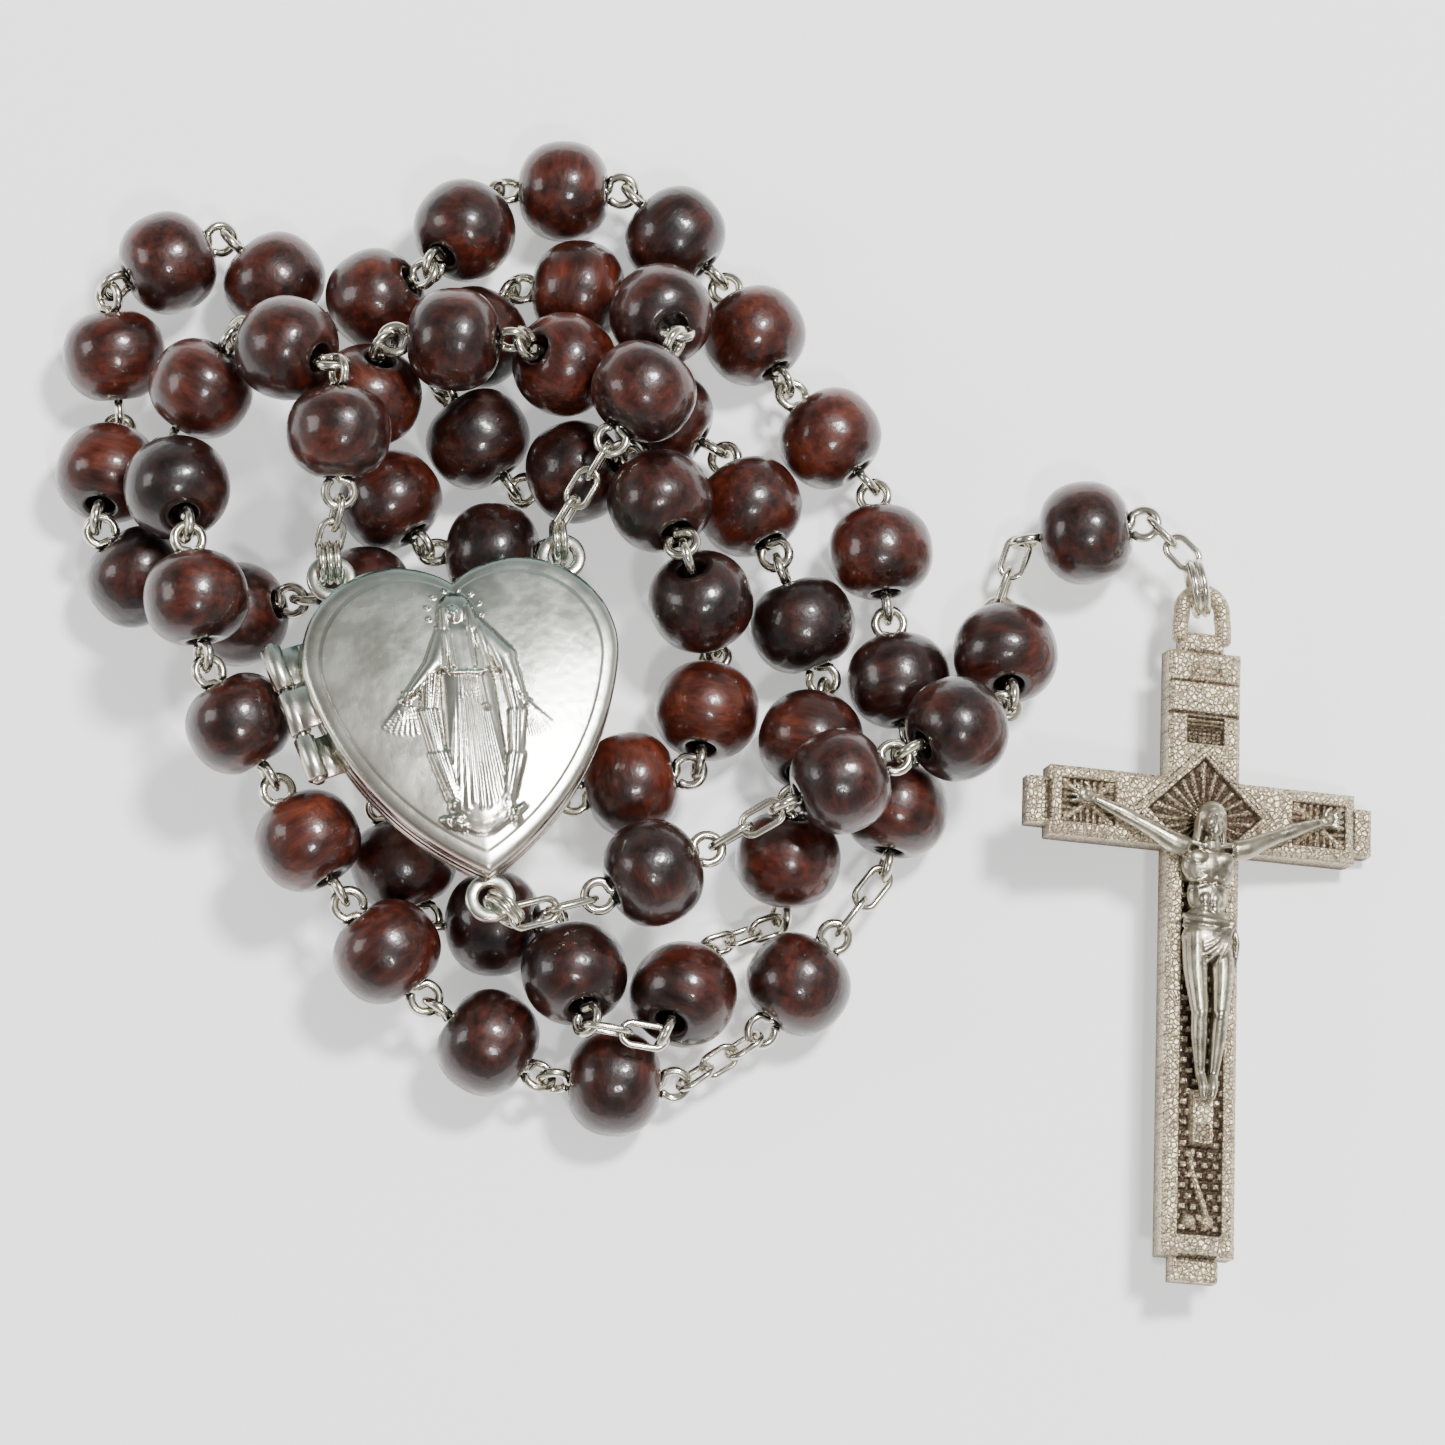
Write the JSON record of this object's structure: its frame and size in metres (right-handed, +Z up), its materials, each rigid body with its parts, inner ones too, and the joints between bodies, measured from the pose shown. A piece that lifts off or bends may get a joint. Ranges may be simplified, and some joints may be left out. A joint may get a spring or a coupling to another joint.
{
  "type": "rosary",
  "caption": "Five-decade rosary lying in a loose pile: round wooden beads on wire eye pins, a hinged heart locket as centre piece and a metal crucifix.",
  "frame": {"origin": "middle of the pile's box, on the table", "axes": "+X towards the crucifix, +Y up the pile, +Z up from the table"},
  "size_m": [0.1002, 0.0894, 0.0186],
  "materials": {
    "stained_wood": "dark red-brown stain under gloss lacquer",
    "silver_plate": "bright silver plate",
    "antique_pewter": "stippled antique pewter with dark recesses",
    "antique_pewter_dark": "smooth darkened pewter"
  },
  "bodies": {
    "decade_wires": {"decade_1_wire": "silver_plate", "decade_2_wire": "silver_plate", "decade_3_wire": "silver_plate", "decade_4_wire": "silver_plate", "decade_5_wire": "silver_plate"},
    "locket_back": {"locket_back_shell": "silver_plate", "locket_hinge_pin": "silver_plate"},
    "locket_cover": {"locket_front_shell": "silver_plate"},
    "tail_link_1": {"tail_wire_1": "silver_plate"},
    "tail_link_2": {"tail_wire_2": "silver_plate"},
    "tail_link_3": {"tail_wire_3": "silver_plate"},
    "tail_link_4": {"tail_wire_4": "silver_plate"},
    "tail_link_5": {"tail_wire_5": "silver_plate"},
    "jump_ring": {"crucifix_jump_ring": "silver_plate"},
    "crucifix": {"crucifix_cross": "antique_pewter", "crucifix_corpus": "antique_pewter_dark"},
    "decade_1_bead_1": {"decade_1_bead_1": "stained_wood"},
    "decade_1_bead_2": {"decade_1_bead_2": "stained_wood"},
    "decade_1_bead_4": {"decade_1_bead_4": "stained_wood"},
    "decade_1_bead_5": {"decade_1_bead_5": "stained_wood"},
    "decade_1_bead_6": {"decade_1_bead_6": "stained_wood"},
    "decade_1_bead_7": {"decade_1_bead_7": "stained_wood"},
    "decade_1_bead_8": {"decade_1_bead_8": "stained_wood"},
    "decade_1_bead_9": {"decade_1_bead_9": "stained_wood"},
    "decade_1_bead_10": {"decade_1_bead_10": "stained_wood"},
    "our_father_bead_2": {"our_father_bead_2": "stained_wood"},
    "decade_2_bead_1": {"decade_2_bead_1": "stained_wood"},
    "decade_2_bead_2": {"decade_2_bead_2": "stained_wood"},
    "decade_2_bead_3": {"decade_2_bead_3": "stained_wood"},
    "decade_2_bead_4": {"decade_2_bead_4": "stained_wood"},
    "decade_2_bead_5": {"decade_2_bead_5": "stained_wood"},
    "decade_2_bead_6": {"decade_2_bead_6": "stained_wood"},
    "decade_2_bead_7": {"decade_2_bead_7": "stained_wood"},
    "decade_2_bead_8": {"decade_2_bead_8": "stained_wood"},
    "decade_2_bead_9": {"decade_2_bead_9": "stained_wood"},
    "decade_2_bead_10": {"decade_2_bead_10": "stained_wood"},
    "our_father_bead_3": {"our_father_bead_3": "stained_wood"},
    "decade_3_bead_1": {"decade_3_bead_1": "stained_wood"},
    "decade_3_bead_2": {"decade_3_bead_2": "stained_wood"},
    "our_father_bead_4": {"our_father_bead_4": "stained_wood"},
    "decade_4_bead_1": {"decade_4_bead_1": "stained_wood"},
    "decade_4_bead_3": {"decade_4_bead_3": "stained_wood"},
    "decade_4_bead_4": {"decade_4_bead_4": "stained_wood"},
    "decade_4_bead_5": {"decade_4_bead_5": "stained_wood"},
    "decade_4_bead_6": {"decade_4_bead_6": "stained_wood"},
    "decade_4_bead_7": {"decade_4_bead_7": "stained_wood"},
    "decade_4_bead_8": {"decade_4_bead_8": "stained_wood"},
    "decade_4_bead_9": {"decade_4_bead_9": "stained_wood"},
    "decade_4_bead_10": {"decade_4_bead_10": "stained_wood"},
    "decade_5_bead_1": {"decade_5_bead_1": "stained_wood"},
    "decade_5_bead_2": {"decade_5_bead_2": "stained_wood"},
    "decade_5_bead_3": {"decade_5_bead_3": "stained_wood"},
    "decade_5_bead_8": {"decade_5_bead_8": "stained_wood"},
    "decade_5_bead_9": {"decade_5_bead_9": "stained_wood"},
    "decade_5_bead_10": {"decade_5_bead_10": "stained_wood"},
    "tail_our_father_bead_1": {"tail_our_father_bead_1": "stained_wood"},
    "tail_hail_mary_bead_1": {"tail_hail_mary_bead_1": "stained_wood"},
    "tail_hail_mary_bead_2": {"tail_hail_mary_bead_2": "stained_wood"},
    "tail_hail_mary_bead_3": {"tail_hail_mary_bead_3": "stained_wood"},
    "tail_our_father_bead_2": {"tail_our_father_bead_2": "stained_wood"}
  },
  "joints": [
    {"name": "crucifix_turn", "type": "hinge", "parent": "tail_link_5", "child": "jump_ring", "pos_m": [0.03649, 0.01013, 0.00591], "axis": [-0.0475, 0.0525, 0.9975], "range_deg": [0, 20]},
    {"name": "crucifix_swing", "type": "hinge", "parent": "jump_ring", "child": "crucifix", "pos_m": [0.03682, 0.00828, 0.00553], "axis": [-0.9841, -0.1773, 0], "range_deg": [0, 40]},
    {"name": "locket_cover_opening", "type": "hinge", "parent": "locket_back", "child": "locket_cover", "pos_m": [-0.03064, -0.00382, 0.01379], "axis": [0.3564, -0.9326, 0.0573], "range_deg": [0, 110]},
    {"name": "locket_lift", "type": "hinge", "parent": "decade_wires", "child": "locket_back", "pos_m": [-0.0199, 0.00957, 0.01063], "axis": [-0.9855, -0.1285, 0.1107], "range_deg": [0, 20]},
    {"name": "tail_lift_1", "type": "hinge", "parent": "locket_back", "child": "tail_link_1", "pos_m": [-0.01512, -0.01832, 0.01293], "axis": [-0.6048, -0.7843, 0.138], "range_deg": [0, 25]},
    {"name": "tail_lift_2", "type": "hinge", "parent": "tail_link_1", "child": "tail_link_2", "pos_m": [0.00084, -0.01257, 0.00987], "axis": [0.445, -0.8956, 0], "range_deg": [0, 30]},
    {"name": "tail_lift_3", "type": "hinge", "parent": "tail_link_2", "child": "tail_link_3", "pos_m": [0.0147, -0.00586, 0.01076], "axis": [0.463, -0.8863, 0], "range_deg": [0, 30]},
    {"name": "tail_lift_4", "type": "hinge", "parent": "tail_link_3", "child": "tail_link_4", "pos_m": [0.02263, -0.0008, 0.00718], "axis": [0.8745, -0.485, 0], "range_deg": [0, 30]},
    {"name": "tail_lift_5", "type": "hinge", "parent": "tail_link_4", "child": "tail_link_5", "pos_m": [0.02207, 0.00832, 0.00277], "axis": [0.9895, -0.1444, 0], "range_deg": [0, 30]},
    {"name": "turn_decade_1_bead_1", "type": "hinge", "parent": "decade_wires", "child": "decade_1_bead_1", "pos_m": [-0.02769, 0.01778, 0.01444], "axis": [-0.0098, 0.9744, 0.2247], "continuous": true},
    {"name": "turn_decade_1_bead_2", "type": "hinge", "parent": "decade_wires", "child": "decade_1_bead_2", "pos_m": [-0.03179, 0.02481, 0.01326], "axis": [-0.7934, 0.4034, -0.4559], "continuous": true},
    {"name": "turn_decade_1_bead_4", "type": "hinge", "parent": "decade_wires", "child": "decade_1_bead_4", "pos_m": [-0.04016, 0.01492, 0.00983], "axis": [0.2262, -0.8239, 0.5196], "continuous": true},
    {"name": "turn_decade_1_bead_5", "type": "hinge", "parent": "decade_wires", "child": "decade_1_bead_5", "pos_m": [-0.0383, 0.00568, 0.01196], "axis": [0.1391, -0.985, -0.1023], "continuous": true},
    {"name": "turn_decade_1_bead_6", "type": "hinge", "parent": "decade_wires", "child": "decade_1_bead_6", "pos_m": [-0.03505, -0.00359, 0.01018], "axis": [0.4975, -0.8314, -0.2475], "continuous": true},
    {"name": "turn_decade_1_bead_7", "type": "hinge", "parent": "decade_wires", "child": "decade_1_bead_7", "pos_m": [-0.02984, -0.01218, 0.0088], "axis": [0.522, -0.8526, -0.023], "continuous": true},
    {"name": "turn_decade_1_bead_8", "type": "hinge", "parent": "decade_wires", "child": "decade_1_bead_8", "pos_m": [-0.02396, -0.02029, 0.00741], "axis": [0.6309, -0.7351, -0.2482], "continuous": true},
    {"name": "turn_decade_1_bead_9", "type": "hinge", "parent": "decade_wires", "child": "decade_1_bead_9", "pos_m": [-0.01648, -0.02675, 0.00533], "axis": [0.8334, -0.529, -0.1602], "continuous": true},
    {"name": "turn_decade_1_bead_10", "type": "hinge", "parent": "decade_wires", "child": "decade_1_bead_10", "pos_m": [-0.00714, -0.02954, 0.00415], "axis": [0.9974, -0.0175, -0.07], "continuous": true},
    {"name": "turn_our_father_bead_2", "type": "hinge", "parent": "decade_wires", "child": "our_father_bead_2", "pos_m": [0.00654, -0.02207, 0.00415], "axis": [0.6122, 0.7897, 0.0396], "continuous": true},
    {"name": "turn_decade_2_bead_1", "type": "hinge", "parent": "decade_wires", "child": "decade_2_bead_1", "pos_m": [0.01398, -0.00863, 0.00415], "axis": [0.1951, 0.9807, -0.0087], "continuous": true},
    {"name": "turn_decade_2_bead_2", "type": "hinge", "parent": "decade_wires", "child": "decade_2_bead_2", "pos_m": [0.01421, 0.00143, 0.00415], "axis": [-0.1489, 0.9888, 0.0088], "continuous": true},
    {"name": "turn_decade_2_bead_3", "type": "hinge", "parent": "decade_wires", "child": "decade_2_bead_3", "pos_m": [0.01292, 0.01155, 0.00415], "axis": [-0.105, 0.9944, -0.0089], "continuous": true},
    {"name": "turn_decade_2_bead_4", "type": "hinge", "parent": "decade_wires", "child": "decade_2_bead_4", "pos_m": [0.00911, 0.02054, 0.00431], "axis": [-0.6406, 0.7668, 0.0398], "continuous": true},
    {"name": "turn_decade_2_bead_5", "type": "hinge", "parent": "decade_wires", "child": "decade_2_bead_5", "pos_m": [0.00335, 0.02889, 0.00415], "axis": [-0.4893, 0.8692, -0.0711], "continuous": true},
    {"name": "turn_decade_2_bead_6", "type": "hinge", "parent": "decade_wires", "child": "decade_2_bead_6", "pos_m": [-0.00272, 0.03694, 0.00415], "axis": [-0.7005, 0.7101, 0.0711], "continuous": true},
    {"name": "turn_decade_2_bead_7", "type": "hinge", "parent": "decade_wires", "child": "decade_2_bead_7", "pos_m": [-0.01138, 0.04068, 0.00415], "axis": [-0.9972, 0.0231, -0.0712], "continuous": true},
    {"name": "turn_decade_2_bead_8", "type": "hinge", "parent": "decade_wires", "child": "decade_2_bead_8", "pos_m": [-0.01895, 0.03685, 0.00585], "axis": [-0.4871, -0.7741, 0.4043], "continuous": true},
    {"name": "turn_decade_2_bead_9", "type": "hinge", "parent": "decade_wires", "child": "decade_2_bead_9", "pos_m": [-0.02573, 0.0313, 0.00568], "axis": [-0.8422, -0.3148, -0.4377], "continuous": true},
    {"name": "turn_decade_2_bead_10", "type": "hinge", "parent": "decade_wires", "child": "decade_2_bead_10", "pos_m": [-0.03364, 0.03323, 0.00415], "axis": [-0.7082, 0.6924, 0.1378], "continuous": true},
    {"name": "turn_our_father_bead_3", "type": "hinge", "parent": "decade_wires", "child": "our_father_bead_3", "pos_m": [-0.04173, 0.03439, 0.00541], "axis": [-0.8786, -0.4649, 0.1095], "continuous": true},
    {"name": "turn_decade_3_bead_1", "type": "hinge", "parent": "decade_wires", "child": "decade_3_bead_1", "pos_m": [-0.04578, 0.02727, 0.00415], "axis": [0.0839, -0.9304, -0.3569], "continuous": true},
    {"name": "turn_decade_3_bead_2", "type": "hinge", "parent": "decade_wires", "child": "decade_3_bead_2", "pos_m": [-0.04597, 0.01783, 0.00423], "axis": [-0.1209, -0.9201, 0.3725], "continuous": true},
    {"name": "turn_our_father_bead_4", "type": "hinge", "parent": "decade_wires", "child": "our_father_bead_4", "pos_m": [-0.00198, -0.02316, 0.00588], "axis": [0.3015, 0.7824, -0.545], "continuous": true},
    {"name": "turn_decade_4_bead_1", "type": "hinge", "parent": "decade_wires", "child": "decade_4_bead_1", "pos_m": [0.00578, -0.01248, 0.00415], "axis": [0.1176, 0.8673, 0.4837], "continuous": true},
    {"name": "turn_decade_4_bead_3", "type": "hinge", "parent": "decade_wires", "child": "decade_4_bead_3", "pos_m": [0.00696, 0.00578, 0.00415], "axis": [-0.3477, 0.9066, 0.2392], "continuous": true},
    {"name": "turn_decade_4_bead_4", "type": "hinge", "parent": "decade_wires", "child": "decade_4_bead_4", "pos_m": [0.00299, 0.01496, 0.00472], "axis": [-0.4305, 0.8936, -0.1271], "continuous": true},
    {"name": "turn_decade_4_bead_5", "type": "hinge", "parent": "decade_wires", "child": "decade_4_bead_5", "pos_m": [-0.0036, 0.02212, 0.00415], "axis": [-0.8606, 0.509, 0.0151], "continuous": true},
    {"name": "turn_decade_4_bead_6", "type": "hinge", "parent": "decade_wires", "child": "decade_4_bead_6", "pos_m": [-0.01114, 0.02525, 0.0082], "axis": [-0.6181, 0.1048, 0.7791], "continuous": true},
    {"name": "turn_decade_4_bead_7", "type": "hinge", "parent": "decade_wires", "child": "decade_4_bead_7", "pos_m": [-0.01937, 0.02594, 0.01181], "axis": [-0.997, 0.0312, -0.0703], "continuous": true},
    {"name": "turn_decade_4_bead_8", "type": "hinge", "parent": "decade_wires", "child": "decade_4_bead_8", "pos_m": [-0.02593, 0.02296, 0.00771], "axis": [-0.2883, -0.6154, -0.7336], "continuous": true},
    {"name": "turn_decade_4_bead_9", "type": "hinge", "parent": "decade_wires", "child": "decade_4_bead_9", "pos_m": [-0.02447, 0.01565, 0.00415], "axis": [0.5737, -0.8183, 0.0351], "continuous": true},
    {"name": "turn_decade_4_bead_10", "type": "hinge", "parent": "decade_wires", "child": "decade_4_bead_10", "pos_m": [-0.01652, 0.01109, 0.00508], "axis": [0.9862, -0.0774, 0.1463], "continuous": true},
    {"name": "turn_decade_5_bead_1", "type": "hinge", "parent": "decade_wires", "child": "decade_5_bead_1", "pos_m": [-0.00595, -0.00689, 0.00486], "axis": [0.9741, 0.2046, 0.0963], "continuous": true},
    {"name": "turn_decade_5_bead_2", "type": "hinge", "parent": "decade_wires", "child": "decade_5_bead_2", "pos_m": [-0.00029, -0.00094, 0.00415], "axis": [0.1352, 0.9624, -0.2354], "continuous": true},
    {"name": "turn_decade_5_bead_3", "type": "hinge", "parent": "decade_wires", "child": "decade_5_bead_3", "pos_m": [-0.00074, 0.0068, 0.00703], "axis": [-0.2232, 0.5559, 0.8007], "continuous": true},
    {"name": "turn_decade_5_bead_8", "type": "hinge", "parent": "decade_wires", "child": "decade_5_bead_8", "pos_m": [-0.01019, 0.03247, 0.00416], "axis": [0.9827, -0.1017, 0.1549], "continuous": true},
    {"name": "turn_decade_5_bead_9", "type": "hinge", "parent": "decade_wires", "child": "decade_5_bead_9", "pos_m": [-0.00376, 0.02896, 0.00882], "axis": [0.2777, -0.5883, 0.7595], "continuous": true},
    {"name": "turn_decade_5_bead_10", "type": "hinge", "parent": "decade_wires", "child": "decade_5_bead_10", "pos_m": [-0.00504, 0.02163, 0.0125], "axis": [-0.5281, -0.8484, -0.0373], "continuous": true},
    {"name": "turn_tail_our_father_bead_1", "type": "hinge", "parent": "tail_link_1", "child": "tail_our_father_bead_1", "pos_m": [-0.0042, -0.015, 0.01038], "axis": [0.8949, 0.4286, -0.1239], "continuous": true},
    {"name": "turn_tail_hail_mary_bead_1", "type": "hinge", "parent": "tail_link_2", "child": "tail_hail_mary_bead_1", "pos_m": [0.00962, -0.00827, 0.0112], "axis": [0.9047, 0.4221, -0.0586], "continuous": true},
    {"name": "turn_tail_hail_mary_bead_2", "type": "hinge", "parent": "tail_link_3", "child": "tail_hail_mary_bead_2", "pos_m": [0.01838, -0.00369, 0.00917], "axis": [0.8121, 0.4748, -0.3393], "continuous": true},
    {"name": "turn_tail_hail_mary_bead_3", "type": "hinge", "parent": "tail_link_4", "child": "tail_hail_mary_bead_3", "pos_m": [0.02223, 0.00326, 0.00511], "axis": [-0.0568, 0.8871, -0.458], "continuous": true},
    {"name": "turn_tail_our_father_bead_2", "type": "hinge", "parent": "tail_link_5", "child": "tail_our_father_bead_2", "pos_m": [0.02853, 0.01293, 0.00461], "axis": [0.9761, 0.0968, 0.1945], "continuous": true}
  ]
}
